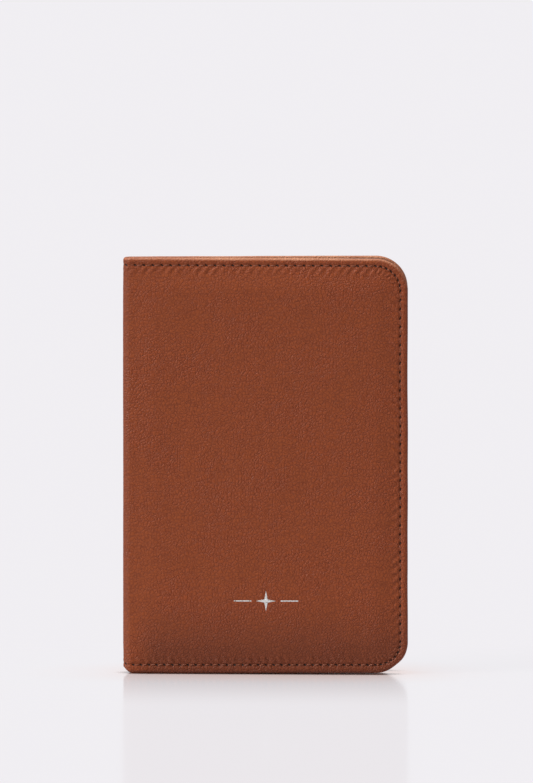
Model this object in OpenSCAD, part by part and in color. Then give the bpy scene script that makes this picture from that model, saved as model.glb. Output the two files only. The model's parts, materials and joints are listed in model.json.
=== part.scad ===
// Leather passport holder with turned and stitched edges, standing slightly open on its lower edges.
// Frame: origin at the centre of the bounding box, on the plane it stands on. +Z is up, the front
// cover faces -Y, and the spine is at -X. The spine strip folds against each cover along a vertical
// crease, and both creases are hinge axes.

/* [Covers] */
// Height of the covers
cover_h = 142; // [138:1:150]
// Width of a cover from its crease to the free edge
cover_w = 96.5; // [94:0.5:104]
// Radius of the two rounded corners on the free edge
corner_r = 11; // [9:1:16]
// Thickness over both covers when closed
closed_t = 7.6; // [7.6:0.1:10]
// Angle that each cover stands away from closed
stand_angle = 3.2; // [0:0.2:6]

/* [Leather and boards] */
// Thickness of the outer leather
leather_t = 1.0; // [0.9:0.1:1.2]
// Skived thickness of the edge that is turned in
hem_t = 0.8; // [0.7:0.1:0.8]
// Width of the edge that is turned in
hem_w = 8; // [6:0.5:8]
// Thickness of the bonded-leather stiffener
board_t = 0.4; // [0.3:0.1:0.5]
// Thickness of the woven lining
lining_t = 0.2; // [0.1:0.1:0.2]

/* [Pockets] */
// Thickness of the two passport sleeves
sleeve_t = 0.6; // [0.5:0.1:0.6]
// Distance of the sleeves' cut edges from the turned edge
sleeve_setback = 0.8; // [0.5:0.1:1]
// Width of the back passport sleeve, which is open towards the spine
back_sleeve_w = 64; // [50:1:80]
// Where the front passport sleeve starts, from the crease
front_sleeve_x = 5; // [4:0.5:6]
// Thickness of the card panels
card_t = 0.5; // [0.4:0.1:0.5]
// Height of the lowest card panel's top edge
card_top = 56; // [54:1:64]
// Step from one card panel's top edge to the next
card_step = 14; // [11:1:16]

/* [Stitching] */
// Distance of the seam from the edge
seam_inset = 2.5; // [2:0.1:3]
// Stitch pitch
stitch_pitch = 2.8; // [2.4:0.1:3.6]
// Visible length of one stitch
stitch_len = 2.2; // [1.6:0.1:2.2]
// Thread diameter
thread_d = 0.44; // [0.3:0.02:0.44]

/* [Foil stamp] */
// Height of the stamp's centre above the lower edge
stamp_z = 25; // [18:1:60]
// Height of the four-pointed star
star_h = 7; // [4:0.5:10]
// Length of the rule on each side of the star
rule_len = 6; // [3:0.5:10]

/* [Hidden] */
$fn = 48;
eps = 0.01;
fold_gap = 0.8;                       // from a crease's axis to the cover leather's end
axis_y = (closed_t - leather_t) / 2;  // half the distance between the two creases
hem_face = leather_t + hem_t;         // depths are measured inwards from a cover's outer face
sleeve_face = hem_face + sleeve_t;
ply_gap = 0.04;
groove_w = 0.9;
groove_d = 0.5;
seam_x = 2.2;                         // where a cover's seam starts, from its crease
card_x = 6;
card_seam_x = 8.2;
card_lap = 6;                         // how far a card panel reaches behind the next one
board_x = 3;                          // where the stiffener starts, from the crease
lining_x = 1.6;                       // where a cover's lining starts, from the crease
bag_depth = 56;                       // from a card panel's top edge to the bottom of its bag
bag_t = 0.15;
bag_inset = 1.5;
fit = 0.3;                            // play of the board and lining inside the turned edge
foil_t = 0.08;
foil_recess = 0.12;
rule_t = 0.4;                         // thickness of the rules beside the star
rule_gap = 1.5;                       // from the star's tip to a rule
x_min = -leather_t / 2;
x_max = cover_w * cos(stand_angle) + (hem_face - leather_t / 2) * sin(stand_angle);
x_mid = (x_min + x_max) / 2;

tan_leather = "#8a4a2e";
inner_leather = "#7d4229";
lining_brown = "#3a2a22";
board_grey = "#8d7a66";
thread_brown = "#a05c38";
foil_silver = "#cfd2d4";

// --- placing ---

// A cover is drawn with x from its crease, y as the depth inwards from its outer face, and z up.
module place_front()
    translate([-x_mid, -axis_y, 0]) rotate([0, 0, -stand_angle]) translate([0, -leather_t / 2, 0])
        children();

module place_back()
    mirror([0, 1, 0]) place_front() children();

// A flat ply cut to the 2D outline given, from one depth to the next.
module ply(depth, thickness)
    translate([0, depth + thickness, 0]) rotate([90, 0, 0]) linear_extrude(thickness) children();

// Outline of a cover, moved in by inset, from x_from to the free edge with its two rounded corners.
module cover_outline(x_from, inset = 0) {
    r = corner_r - inset;
    x_to = cover_w - inset;
    translate([x_from, inset]) square([x_to - r - x_from, cover_h - 2 * inset]);
    translate([x_from, corner_r]) square([x_to - x_from, cover_h - 2 * corner_r]);
    for (z = [corner_r, cover_h - corner_r])
        translate([cover_w - corner_r, z]) circle(r);
}

module seam_band()
    difference() {
        cover_outline(-1, seam_inset - groove_w / 2);
        cover_outline(-2, seam_inset + groove_w / 2);
    }

// --- the seam round a cover, by arc length ---

seam_r = corner_r - seam_inset;
run_x = cover_w - corner_r - seam_x;
run_arc = seam_r * PI / 2;
run_z = cover_h - 2 * corner_r;
seam_len = 2 * (run_x + run_arc) + run_z;
stitch_count = floor(seam_len / stitch_pitch);

// [x, z, direction] at the distance s along the seam: top edge, corner, free edge, corner, lower edge.
function seam_at(s) =
    s < run_x ? [seam_x + s, cover_h - seam_inset, 0]
    : s < run_x + run_arc ? corner_at((s - run_x) / seam_r * 180 / PI)
    : s < run_x + run_arc + run_z
        ? [cover_w - seam_inset, cover_h - corner_r - (s - run_x - run_arc), -90]
    : s < run_x + 2 * run_arc + run_z
        ? flip_z(corner_at(90 - (s - run_x - run_arc - run_z) / seam_r * 180 / PI))
    : [cover_w - corner_r - (s - run_x - 2 * run_arc - run_z), seam_inset, 180];

function corner_at(a) =
    [cover_w - corner_r + seam_r * sin(a), cover_h - corner_r + seam_r * cos(a), -a];

function flip_z(p) = [p[0], cover_h - p[1], -p[2]];

module stitch(at, depth)
    translate([at[0], depth, at[1]]) rotate([0, -at[2], 0]) rotate([0, 90, 0])
        cylinder(h = stitch_len, d = thread_d, center = true);

function ends(at) = [for (k = [-0.5, 0.5]) [
    at[0] + k * stitch_len * cos(at[2]), at[1] + k * stitch_len * sin(at[2])]];

// A stitch on the inside, on whichever ply is innermost at either of its ends. face_depth gives a
// cover's innermost depth at a point [x, z].
module inner_stitch(at, face_depth)
    stitch(at, max([for (e = ends(at)) face_depth(e)]) + thread_d / 2 + eps);

// The outer row lies in the groove, and the inner row on the plies inside.
module cover_seam(face_depth)
    for (i = [0 : stitch_count - 1]) {
        at = seam_at((i + 0.5) * seam_len / stitch_count);
        stitch(at, thread_d / 2 + 2 * eps);
        inner_stitch(at, face_depth);
    }

// --- plies that both covers have ---

module cover_leather()
    difference() {
        ply(0, hem_face) cover_outline(fold_gap);
        ply(leather_t, hem_t + 1) cover_outline(0, hem_w);
        ply(groove_d - 1, 1) seam_band();
    }

module stiffener()
    ply(leather_t, board_t) cover_outline(board_x, hem_w + fit);

module cover_lining()
    ply(leather_t + board_t, lining_t) cover_outline(lining_x, hem_w + fit);

module sleeve(x_from)
    ply(hem_face, sleeve_t) cover_outline(x_from, sleeve_setback);

// --- back cover ---

module back_leather() color(tan_leather) place_back() cover_leather();

module back_stiffener() color(board_grey) place_back() stiffener();

module back_lining() color(lining_brown) place_back() cover_lining();

module back_sleeve() color(inner_leather) place_back() sleeve(cover_w - back_sleeve_w);

back_depth = function (p) p[0] < cover_w - back_sleeve_w ? hem_face : sleeve_face;

module back_stitching() color(thread_brown) place_back() cover_seam(back_depth);

// --- spine ---

spine_hem_w = 2 * (axis_y - 1.7);
spine_lining_w = 2 * (axis_y - 1);

module spine_leather() color(tan_leather) translate([-x_mid, 0, 0]) difference() {
    union() {
        translate([-leather_t / 2, -axis_y, 0]) cube([leather_t, 2 * axis_y, cover_h]);
        for (side = [-1, 1])
            translate([0, side * axis_y, 0]) cylinder(h = cover_h, d = leather_t);
        for (z = [0, cover_h - hem_w])
            translate([0, -spine_hem_w / 2, z]) cube([leather_t / 2 + hem_t, spine_hem_w, hem_w]);
    }
    for (z = [seam_inset, cover_h - seam_inset])
        translate([-leather_t, -closed_t, z - groove_w / 2])
            cube([leather_t / 2 + groove_d, 2 * closed_t, groove_w]);
}

module spine_lining() color(lining_brown)
    translate([leather_t / 2 - x_mid, -spine_lining_w / 2, hem_w + fit])
        cube([lining_t, spine_lining_w, cover_h - 2 * (hem_w + fit)]);

module spine_stitching() color(thread_brown)
    for (z = [seam_inset, cover_h - seam_inset], side = [-1, 1])
        translate([-leather_t / 2 + thread_d / 2 + 2 * eps - x_mid, side * stitch_pitch / 2, z])
            rotate([90, 0, 0]) cylinder(h = stitch_len, d = thread_d, center = true);

// --- front cover ---

module front_leather() color(tan_leather) place_front() difference() {
    cover_leather();
    ply(foil_recess - 1, 1) translate([cover_w / 2, stamp_z]) stamp_2d(0.05);
}

module front_stiffener() color(board_grey) place_front() stiffener();

module front_lining() color(lining_brown) place_front() cover_lining();

module front_sleeve() color(inner_leather) place_front() sleeve(front_sleeve_x);

// Card panels are counted from the sleeve outwards: 0 upper, 1 middle, 2 lower.
function card_top_z(i) = card_top + (2 - i) * card_step;
function card_back(i) = sleeve_face + ply_gap + i * (card_t + ply_gap);
function card_foot_z(i) = i == 2 ? 0 : card_top_z(i + 1) - card_lap;

module card_panel(i) color(inner_leather) place_front() ply(card_back(i), card_t) intersection() {
    cover_outline(card_x, sleeve_setback);
    translate([0, card_foot_z(i)]) square([cover_w, card_top_z(i) - card_foot_z(i)]);
}

module card_panel_upper() card_panel(0);
module card_panel_middle() card_panel(1);
module card_panel_lower() card_panel(2);

module card_bag(i) color(lining_brown) place_front()
    ply(card_back(i) + (card_t - bag_t) / 2, bag_t)
        translate([card_x + bag_inset, card_top_z(i) - bag_depth])
            square([cover_w - card_x - seam_inset - 2 * bag_inset,
                card_foot_z(i) - card_top_z(i) + bag_depth]);

module card_bag_upper() card_bag(0);
module card_bag_middle() card_bag(1);

function card_face(z) = [for (i = [2 : -1 : 0]) if (z <= card_top_z(i)) card_back(i) + card_t][0];

front_depth = function (p)
    p[0] < front_sleeve_x ? hem_face
    : p[0] < card_x || p[1] > card_top_z(0) ? sleeve_face
    : card_face(p[1]);

module front_stitching() color(thread_brown) place_front() cover_seam(front_depth);

// The upright seam near the spine that closes the card slots.
module card_stitching() color(thread_brown) place_front() {
    low = seam_inset + stitch_pitch;
    count = floor((card_top_z(0) - low) / stitch_pitch);
    for (i = [0 : count - 1])
        inner_stitch([card_seam_x, low + (i + 0.5) * stitch_pitch, 90], front_depth);
}

// A plain four-pointed star between two rules.
module stamp_2d(grow = 0) {
    tip = star_h / 2 + grow;
    waist = star_h / 9 + grow;
    polygon([for (k = [0 : 7]) (k % 2 == 0 ? tip : waist) * [cos(45 * k), sin(45 * k)]]);
    for (side = [-1, 1])
        translate([side * (star_h / 2 + rule_gap + rule_len / 2), 0])
            square([rule_len + 2 * grow, rule_t + 2 * grow], center = true);
}

module foil_stamp() color(foil_silver) place_front()
    ply(foil_recess - foil_t, foil_t) translate([cover_w / 2, stamp_z]) stamp_2d();

back_leather();
back_stiffener();
back_lining();
back_sleeve();
back_stitching();
spine_leather();
spine_lining();
spine_stitching();
front_leather();
front_stiffener();
front_lining();
front_sleeve();
card_panel_upper();
card_panel_middle();
card_panel_lower();
card_bag_upper();
card_bag_middle();
card_stitching();
front_stitching();
foil_stamp();
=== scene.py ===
import json
import math
from functools import partial

import bmesh
import bpy
import numpy as np
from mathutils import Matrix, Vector, noise


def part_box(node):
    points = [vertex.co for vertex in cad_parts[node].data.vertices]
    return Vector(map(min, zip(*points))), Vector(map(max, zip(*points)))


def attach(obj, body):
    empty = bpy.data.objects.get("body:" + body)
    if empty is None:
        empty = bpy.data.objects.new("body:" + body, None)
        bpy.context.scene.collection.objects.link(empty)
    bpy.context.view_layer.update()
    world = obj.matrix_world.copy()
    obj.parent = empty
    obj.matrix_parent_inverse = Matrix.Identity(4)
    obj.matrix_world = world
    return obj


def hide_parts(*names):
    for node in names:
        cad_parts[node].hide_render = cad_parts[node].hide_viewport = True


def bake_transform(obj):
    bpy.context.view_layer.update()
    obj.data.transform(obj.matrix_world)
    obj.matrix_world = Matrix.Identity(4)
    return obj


# A leather passport holder standing slightly open on its lower edges. Meshes are worked out in millimetres on
# the flat hide, then wrapped round the spine, because that is how the holder is cut, turned, sewn and folded.

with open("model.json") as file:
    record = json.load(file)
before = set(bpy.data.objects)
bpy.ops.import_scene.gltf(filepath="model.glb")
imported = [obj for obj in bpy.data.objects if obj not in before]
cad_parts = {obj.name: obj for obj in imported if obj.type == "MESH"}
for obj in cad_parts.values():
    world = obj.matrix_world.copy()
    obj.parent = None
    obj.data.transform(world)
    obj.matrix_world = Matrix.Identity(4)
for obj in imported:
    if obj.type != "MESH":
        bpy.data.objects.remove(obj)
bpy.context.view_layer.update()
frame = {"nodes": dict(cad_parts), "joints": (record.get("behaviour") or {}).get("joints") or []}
mm = 0.001

# the two creases and the covers' size come from the frame
joints = {joint["name"]: joint for joint in frame["joints"]}
creaseX = joints["front_crease"]["pos_m"][0] / mm
creaseHalf = joints["back_crease"]["pos_m"][1] / mm      # half the distance between the two creases
restAngle = math.radians(-joints["front_crease"]["range_deg"][0])
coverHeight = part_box("front_leather")[1].z / mm

hide = {
    "thickness": 1.0,
    "turnedEdge": 0.8,         # skived edge, turned in and glued down
    "turnedWidth": 8.0,
    "cornerRadius": 11.0,
    "foldRadius": 2.2,         # of the hide's middle, where it bends beside the spine
    "seamInset": 2.5,
    "boardThickness": 0.4,
    "liningThickness": 0.2,
    "sleeveThickness": 0.6,
    "sleeveSetback": 0.8,      # of the sleeves' cut edges from the turned edge
    "cardThickness": 0.5,
    "plyGap": 0.04,
}
hemDepth = hide["thickness"] + hide["turnedEdge"]
sleeveDepth = hemDepth + hide["sleeveThickness"]
turn = math.pi / 2 - restAngle
tangent = hide["foldRadius"] * math.tan(turn / 2)        # from the crease to where its bend ends
spineFlat = creaseHalf - tangent
coverStart = spineFlat + hide["foldRadius"] * turn       # along the hide, from the middle of the spine
overhang = (hemDepth - hide["thickness"] / 2) * math.sin(restAngle)
coverWidth = (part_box("front_leather")[1].x / mm - creaseX - overhang) / math.cos(restAngle)


def alongHide(fromCrease):
    return coverStart + fromCrease - tangent


freeEdge = alongHide(coverWidth)


def wrap(side, u, z, depth):
    # side -1 is the front cover, 1 the back
    # u runs from the middle of the spine, depth inwards from the outer face
    u, z, depth = np.broadcast_arrays(np.asarray(u, float), z, depth)
    bend = np.clip((u - spineFlat) / hide["foldRadius"], 0, turn)
    onSpine = np.minimum(u, spineFlat)
    onCover = np.maximum(u - coverStart, 0)
    inward = depth - hide["thickness"] / 2
    x = hide["foldRadius"] * (1 - np.cos(bend)) + onCover * math.sin(turn) + inward * np.cos(bend)
    y = onSpine + hide["foldRadius"] * np.sin(bend) + onCover * math.cos(turn) - inward * np.sin(bend)
    return np.stack([creaseX + x, side * y, z], -1) * mm


def smooth(low, high, value):
    t = np.clip((value - low) / (high - low), 0, 1)
    return t * t * (3 - 2 * t)


def ridge(value, middle, width):
    return np.exp(-((value - middle) / width) ** 2)


def ripple(u, z, size, seed):
    # Perlin noise on the flat hide, about -1 to 1, with features of that size in millimetres
    points = np.stack([u / size, z / size], -1).reshape(-1, 2)
    values = [noise.noise((a, b, seed)) for a, b in points]
    return np.array(values).reshape(np.shape(u)) * 1.6


def linear(code):
    # sRGB hex to linear
    parts = [int(code[i:i + 2], 16) / 255 for i in (1, 3, 5)]
    return [p / 12.92 if p <= 0.04045 else ((p + 0.055) / 1.055) ** 2.4 for p in parts] + [1.0]


def addNode(tree, kind, inputs=None, **settings):
    # one node with its settings, a shader node unless its kind says otherwise
    # an input is a value, a socket to link, or a node whose first live output is linked
    node = tree.nodes.new(kind if "Node" in kind else "ShaderNode" + kind)
    for name, value in settings.items():
        setattr(node, name, value)
    for name, value in (inputs or {}).items():
        if isinstance(value, bpy.types.Node):
            value = next(socket for socket in value.outputs if socket.enabled)
        if isinstance(value, bpy.types.NodeSocket):
            tree.links.new(value, node.inputs[name])
        else:
            node.inputs[name].default_value = value
    return node


def blankMaterial(name):
    # a new material, and addNode for its tree
    material = bpy.data.materials.new(name)
    material.use_nodes = True
    material.node_tree.nodes.clear()
    return material, partial(addNode, material.node_tree)


def finishMaterial(material, add, height, relief, look):
    # the surface: its colour, roughness and so on, and its relief in millimetres
    bump = add("Bump", {"Height": height, "Distance": relief * mm})
    add("OutputMaterial", {"Surface": add("BsdfPrincipled", {**look, "Normal": bump})})
    return material


def finishPiece(name, mesh, material, sharpAngle=60):
    bm = bmesh.new()
    bm.from_mesh(mesh)
    rim = [e for e in bm.edges if e.is_boundary]
    if rim:
        bmesh.ops.holes_fill(bm, edges=rim, sides=0)
    bmesh.ops.recalc_face_normals(bm, faces=bm.faces)
    for edge in bm.edges:
        edge.smooth = len(edge.link_faces) == 2 and edge.calc_face_angle() < math.radians(sharpAngle)
    for face in bm.faces:
        face.smooth = True
    bm.to_mesh(mesh)
    bm.free()
    mesh.materials.append(material)
    piece = bpy.data.objects.new(name, mesh)
    bpy.context.scene.collection.objects.link(piece)
    return piece


print("stage and camera")
view = {
    "distance": 8000.0,        # far off, so upright edges stay parallel
    "elevation": 4.4,          # degrees above the holder's middle
    "aimAbove": 25.05,         # millimetres that the lens aims above the holder's middle
    "aimRight": 0.3,
    "lens": 1079.1,
}
middle = Vector((0, 0, coverHeight / 2)) * mm
lift = math.radians(view["elevation"])
cameraData = bpy.data.cameras.new("camera")
cameraData.lens = view["lens"]
cameraData.sensor_width = 36
cameraData.clip_start = 0.05
cameraData.clip_end = 60
camera = bpy.data.objects.new("camera", cameraData)
bpy.context.scene.collection.objects.link(camera)
camera.location = middle + Vector((0, -math.cos(lift), math.sin(lift))) * view["distance"] * mm
aim = middle + Vector((view["aimRight"], 0, view["aimAbove"])) * mm
camera.rotation_euler = (aim - camera.location).to_track_quat("-Z", "Y").to_euler()
bpy.context.scene.camera = camera
bpy.context.scene.view_settings.view_transform = "Standard"


def addLight(name, azimuth, elevation, strength, spread, code):
    # soft light from that side of the holder: azimuth 0 is the viewer's side, negative its left
    data = bpy.data.lights.new(name, "SUN")
    data.energy = strength
    data.angle = math.radians(spread)
    data.color = linear(code)[:3]
    lamp = bpy.data.objects.new(name, data)
    bpy.context.scene.collection.objects.link(lamp)
    a, e = math.radians(azimuth), math.radians(elevation)
    toLamp = Vector((math.sin(a) * math.cos(e), -math.cos(a) * math.cos(e), math.sin(e)))
    lamp.location = middle + toLamp * 2
    lamp.rotation_euler = toLamp.to_track_quat("Z", "Y").to_euler()
    return lamp


studio = {
    "key": dict(azimuth=-66, elevation=36, strength=4.2, spread=30, code="#fffaf4"),
    "overhead": dict(azimuth=-165, elevation=85, strength=3.0, spread=36, code="#ffffff"),
}
for lampName, lampSettings in studio.items():
    addLight(lampName, **lampSettings)

room = {
    "behind": (0.6, 0.92),     # towards the wall behind the holder the room turns from dim to white
    "low": (0.06, 0.14),       # and so it does towards the horizon
    "light": (0.3, 0.98),
}
world = bpy.data.worlds.new("studio")
bpy.context.scene.world = world
world.use_nodes = True
backdrop = world.node_tree.nodes["Background"]
backdrop.inputs["Color"].default_value = linear("#f2f1f4")
addSky = partial(addNode, world.node_tree)
direction = addSky("TexCoord")
bearing = addSky("SeparateXYZ", {0: direction.outputs["Generated"]})
behind = addSky("MapRange",
                {"Value": bearing.outputs["Y"], "From Min": room["behind"][0], "From Max": room["behind"][1]},
                interpolation_type="SMOOTHSTEP")
skirting = addSky("MapRange",
                  {"Value": bearing.outputs["Z"], "From Min": room["low"][0], "From Max": room["low"][1],
                   "To Min": 1.0, "To Max": 0.0}, interpolation_type="SMOOTHSTEP")
whiteWall = addSky("Math", {0: behind, 1: skirting}, operation="MAXIMUM")
wallLight = addSky("MapRange", {"Value": whiteWall, "To Min": room["light"][0], "To Max": room["light"][1]})
world.node_tree.links.new(wallLight.outputs["Result"], backdrop.inputs["Strength"])

table = {
    "radius": 14.0,            # metres
    "glow": 0.9,               # how strongly the top is lit from below
    "contactReach": 0.0072,    # metres round whatever stands on it, where a painted shade darkens it
    "open": (0.6, 0.82),       # share of the sky that such a point sees, from full shade to none
    "contactReflection": 0.6,
    "bleedReach": 0.04,        # metres over which a painted bounce of the hide's colour tints the glow
    "nearReflection": 0.345,   # beside the holder's foot, where the satin top mirrors it most clearly
    "farReflection": 0.07,
    "reflectionReach": 0.14,   # metres
    "roughness": 0.12,
    "halfWidth": 0.044,        # metres of the holder's foot to either side of its middle
}


def litTable():
    # Satin acrylic table top lit from below: matt and white, with a weak blurred reflection that fades with
    # distance, a narrow painted brown shade right beside the hide where its glow dims, and a pinkish painted
    # bounce of the hide's colour nearby
    material, add = blankMaterial("litSatinAcrylic")
    place = add("TexCoord")
    mottle = add("TexNoise", {"Vector": place.outputs["Object"], "Scale": 3.0, "Detail": 2.0})
    tint = add("Mix", {0: mottle, 6: linear("#aaa8ab"), 7: linear("#aeacaf")}, data_type="RGBA")
    parts = add("SeparateXYZ", {0: place.outputs["Object"]})
    beside = add("Math", {0: parts.outputs["X"]}, operation="ABSOLUTE")
    beyond = add("Math", {0: beside, 1: table["halfWidth"]}, operation="SUBTRACT")
    outside = add("Math", {0: beyond, 1: 0.0}, operation="MAXIMUM")
    offset = add("CombineXYZ", {0: outside, 1: parts.outputs["Y"]})
    away = add("VectorMath", {0: offset}, operation="LENGTH")
    close = add("AmbientOcclusion", {"Distance": table["contactReach"]}, samples=12)
    clear = add("MapRange",
                {"Value": close.outputs["AO"], "From Min": table["open"][0], "From Max": table["open"][1]})
    # painted contact shade: beside whatever stands on the top, the glow dims and the matt colour turns brown
    glow = add("Math", {0: clear, 1: table["glow"]}, operation="MULTIPLY")
    shaded = add("Mix", {0: clear, 6: linear("#5a3322"), 7: tint}, data_type="RGBA")
    matt = add("BsdfDiffuse", {"Color": shaded})
    # painted bounce light: near the hide the glow turns pinkish, as if lit by light thrown off the hide
    near = add("AmbientOcclusion", {"Distance": table["bleedReach"]}, samples=8)
    beyondHideBounce = add("MapRange", {"Value": near.outputs["AO"], "From Min": 0.5})
    lamp = add("Mix", {0: beyondHideBounce, 6: linear("#f2dad4"), 7: linear("#f1eff3")}, data_type="RGBA")
    lit = add("Emission", {"Color": lamp, "Strength": 1.0})
    body = add("MixShader", {0: glow, 1: matt, 2: lit})
    gloss = add("BsdfGlossy", {"Roughness": table["roughness"], "Color": linear("#ffffff")})
    mirrored = add("MapRange",
                   {"Value": away, "From Min": 0.0, "From Max": table["reflectionReach"],
                    "To Min": table["nearReflection"], "To Max": table["farReflection"]},
                   interpolation_type="SMOOTHSTEP")
    touching = add("MapRange", {"Value": clear, "To Min": table["contactReflection"], "To Max": 0.0})
    share = add("Math", {0: mirrored, 1: touching}, operation="MAXIMUM")
    both = add("MixShader", {0: share, 1: body, 2: gloss})
    add("OutputMaterial", {"Surface": both})
    return material


tableMesh = bpy.data.meshes.new("table")
rim = [(table["radius"] * math.cos(a), table["radius"] * math.sin(a), 0)
       for a in np.linspace(0, 2 * math.pi, 97)[:-1]]
tableMesh.from_pydata(rim, [], [list(range(len(rim)))])
tableMesh.materials.append(litTable())
tableTop = bpy.data.objects.new("table", tableMesh)
bpy.context.scene.collection.objects.link(tableTop)

print("materials")
grain = {
    "pebble": 1.15,            # millimetres across a pebble of the grain
    "finePebble": 0.62,
    "wrinkle": 1.5,            # spacing of the fine lines that run across the hide
    "wrinkleTurn": 38,         # degrees
    "mottle": 14.0,            # size of the uneven patches of dye
    "relief": 0.17,            # height of the grain
    "hole": (0.5, 0.27),       # half the length and width of a needle hole
}


def pebbledHide():
    # Drum-dyed, pebble-grained cowhide with a semi-matt finish: soft domes with darker valleys, slanting
    # wrinkles, uneven dye, needle holes along the seam, and turned edges a little pale where stretched, paler
    # still on top as painted top light
    material, add = blankMaterial("pebbledCowhide")
    flat = add("UVMap", uv_map="hide")
    drift = add("TexNoise", {"Vector": flat, "Scale": 1 / (2.6 * mm), "Detail": 2.0}, noise_dimensions="2D")
    centred = add("VectorMath", {0: drift.outputs["Color"], 1: (0.5, 0.5, 0.5)}, operation="SUBTRACT")
    moved = add("VectorMath", {0: centred, "Scale": 1.1 * mm}, operation="SCALE")
    warped = add("VectorMath", {0: flat, 1: moved}, operation="ADD")
    pebbles = add("TexVoronoi",
                  {"Vector": warped, "Scale": 1 / (grain["pebble"] * mm)}, feature="DISTANCE_TO_EDGE",
                  voronoi_dimensions="2D")
    domes = add("MapRange",
                {"Value": pebbles, "From Min": 0.0, "From Max": 0.3}, interpolation_type="SMOOTHSTEP")
    fine = add("TexVoronoi",
               {"Vector": warped, "Scale": 1 / (grain["finePebble"] * mm)}, voronoi_dimensions="2D")
    slanted = add("Mapping",
                  {"Vector": warped, "Rotation": (0, 0, math.radians(-grain["wrinkleTurn"])),
                   "Scale": (0.3, 1.0, 1.0)})
    lines = add("TexNoise",
                {"Vector": slanted, "Scale": 1 / (grain["wrinkle"] * mm), "Detail": 3.0, "Roughness": 0.6},
                noise_dimensions="2D")
    lineMiddle = add("Math", {0: lines, 1: 0.5}, operation="SUBTRACT")
    fromLine = add("Math", {0: lineMiddle}, operation="ABSOLUTE")
    wrinkles = add("MapRange",
                   {"Value": fromLine, "From Min": 0.0, "From Max": 0.07}, interpolation_type="SMOOTHSTEP")
    patches = add("TexNoise",
                  {"Vector": flat, "Scale": 1 / (grain["mottle"] * mm), "Detail": 3.0, "Roughness": 0.55},
                  noise_dimensions="2D")
    depth = add("MapRange", {"Value": patches, "From Min": 0.34, "From Max": 0.62, "To Min": 0.5})
    domeShare = add("Math", {0: domes, 1: 0.5}, operation="MULTIPLY")
    fineShare = add("Math", {0: fine, 1: -0.4}, operation="MULTIPLY")
    lineShare = add("Math", {0: wrinkles, 1: 0.35, 2: fineShare}, operation="MULTIPLY_ADD")
    allShares = add("Math", {0: domeShare, 1: lineShare}, operation="ADD")
    grown = add("Math", {0: allShares, 1: depth}, operation="MULTIPLY")
    pressed = add("Attribute", attribute_name="pressed")
    unpressed = add("MapRange", {"Value": pressed.outputs["Fac"], "To Min": 1.0, "To Max": 0.25})
    height = add("Math", {0: grown, 1: unpressed}, operation="MULTIPLY")

    marks = {label: add("Attribute", attribute_name=label).outputs["Fac"]
             for label in ("stitchCount", "stitchPitch", "fromSeam", "holeLean",
                           "rolled", "turnedUp", "foot", "underneath")}
    pastHole = add("Math", {0: marks["stitchCount"], 1: 0.5, 2: -0.5}, operation="WRAP")
    alongSeam = add("Math", {0: pastHole, 1: marks["stitchPitch"]}, operation="MULTIPLY")
    leaning = add("Math",
                  {0: alongSeam, 1: marks["holeLean"], 2: marks["fromSeam"]}, operation="MULTIPLY_ADD")
    holePlace = add("CombineXYZ", {0: alongSeam, 1: leaning})
    holeShape = add("VectorMath", {0: holePlace, 1: (*grain["hole"], 1.0)}, operation="DIVIDE")
    holeAway = add("VectorMath", {0: holeShape}, operation="LENGTH")
    hole = add("MapRange",
               {"Value": holeAway, "From Min": 0.7, "From Max": 1.25, "To Min": 1.0,
                "To Max": 0.0}, interpolation_type="SMOOTHSTEP")
    besideSeam = add("Math", {0: marks["fromSeam"]}, operation="ABSOLUTE")
    sunkSeam = add("MapRange",
                   {"Value": besideSeam, "From Min": 0.2, "From Max": 0.9, "To Min": 0.05, "To Max": 0.0})

    shade = add("MapRange", {"Value": allShares, "From Min": 0.05, "From Max": 0.62})
    patchShare = add("MapRange", {"Value": patches, "From Min": 0.3, "From Max": 0.7, "To Max": 0.45})
    edgeTone = add("Mix",
                   {0: marks["turnedUp"], 6: linear("#7a371e"), 7: linear("#a36e50")}, data_type="RGBA")
    edgeShare = add("Math", {0: marks["rolled"], 1: depth}, operation="MULTIPLY")
    colour = add("Mix", {0: shade, 6: linear("#6b2c0a"), 7: linear("#7e3911")}, data_type="RGBA")
    layers = (
        (patchShare, linear("#77300c")),              # uneven dye
        (marks["foot"], linear("#431a08")),           # painted shade towards the lower edge; also darker along the spine's round
        # painted shade in the seam's groove
        (sunkSeam, linear("#56220b")),
        # turned edges a little pale where stretched; their upper edge paler still as painted top light
        (edgeShare, edgeTone),
        (marks["underneath"], linear("#1a0803")),     # painted shade under the lower edge, where it stands
        # needle holes painted near black, as painted shade inside them
        (hole, linear("#1b0a05")),
    )
    for share, tone in layers:
        colour = add("Mix", {0: share, 6: colour, 7: tone}, data_type="RGBA")
    polish = add("MapRange",
                 {"Value": height, "From Min": 0.05, "From Max": 0.6, "To Min": 0.62, "To Max": 0.47})
    sunk = add("Math", {0: hole, 1: -1.8, 2: height}, operation="MULTIPLY_ADD")
    look = {"Base Color": colour, "Roughness": polish, "IOR": 1.36}
    return finishMaterial(material, add, sunk, grain["relief"], look)


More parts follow.
